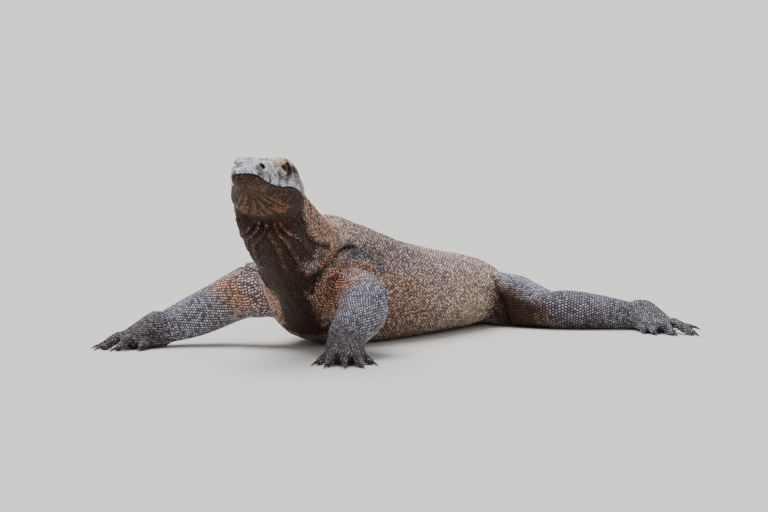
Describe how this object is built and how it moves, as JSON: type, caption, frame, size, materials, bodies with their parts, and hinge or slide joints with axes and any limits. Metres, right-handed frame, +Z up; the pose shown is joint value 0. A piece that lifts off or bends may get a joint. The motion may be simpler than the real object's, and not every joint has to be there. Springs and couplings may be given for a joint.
{
  "type": "komodo dragon",
  "caption": "Life-size Komodo dragon lying on its belly, forebody raised on bent forelegs, head up, one hind leg stretched out and the tail curled beside it.",
  "frame": {"origin": "middle of the footprint, on the floor", "axes": "+Z up, -Y the way the animal faces, +X towards its left side"},
  "size_m": [1.0224, 1.3018, 0.3605],
  "materials": {
    "head_skin": "satin",
    "throat_skin": "matte",
    "body_skin": "matte",
    "tail_skin": "matte",
    "limb_skin": "satin",
    "claw_horn": "gloss",
    "eye": "gloss"
  },
  "bodies": {
    "root": {"head": "head_skin", "lower_jaw": "throat_skin", "neck_upper": "throat_skin", "neck_lower": "body_skin", "chest": "body_skin", "belly": "body_skin", "pelvis": "body_skin", "tail_1": "tail_skin", "tail_2": "tail_skin", "tail_3": "tail_skin", "tail_4": "tail_skin", "tail_5": "tail_skin", "tail_6": "tail_skin", "tail_7": "tail_skin", "eye_left": "eye", "eye_right": "eye", "upper_arm_left": "limb_skin", "forearm_left": "limb_skin", "hand_left": "limb_skin", "upper_arm_right": "limb_skin", "forearm_right": "limb_skin", "hand_right": "limb_skin", "thigh_left": "limb_skin", "shank_left": "limb_skin", "foot_left": "limb_skin", "thigh_right": "limb_skin", "shank_right": "limb_skin", "foot_right": "limb_skin", "hand_left_claw_1": "claw_horn", "hand_left_claw_2": "claw_horn", "hand_left_claw_3": "claw_horn", "hand_left_claw_4": "claw_horn", "hand_left_claw_5": "claw_horn", "hand_right_claw_1": "claw_horn", "hand_right_claw_2": "claw_horn", "hand_right_claw_3": "claw_horn", "hand_right_claw_4": "claw_horn", "hand_right_claw_5": "claw_horn", "foot_left_claw_1": "claw_horn", "foot_left_claw_2": "claw_horn", "foot_left_claw_3": "claw_horn", "foot_left_claw_4": "claw_horn", "foot_left_claw_5": "claw_horn", "foot_right_claw_1": "claw_horn", "foot_right_claw_2": "claw_horn", "foot_right_claw_3": "claw_horn", "foot_right_claw_4": "claw_horn", "foot_right_claw_5": "claw_horn"}
  },
  "joints": []
}
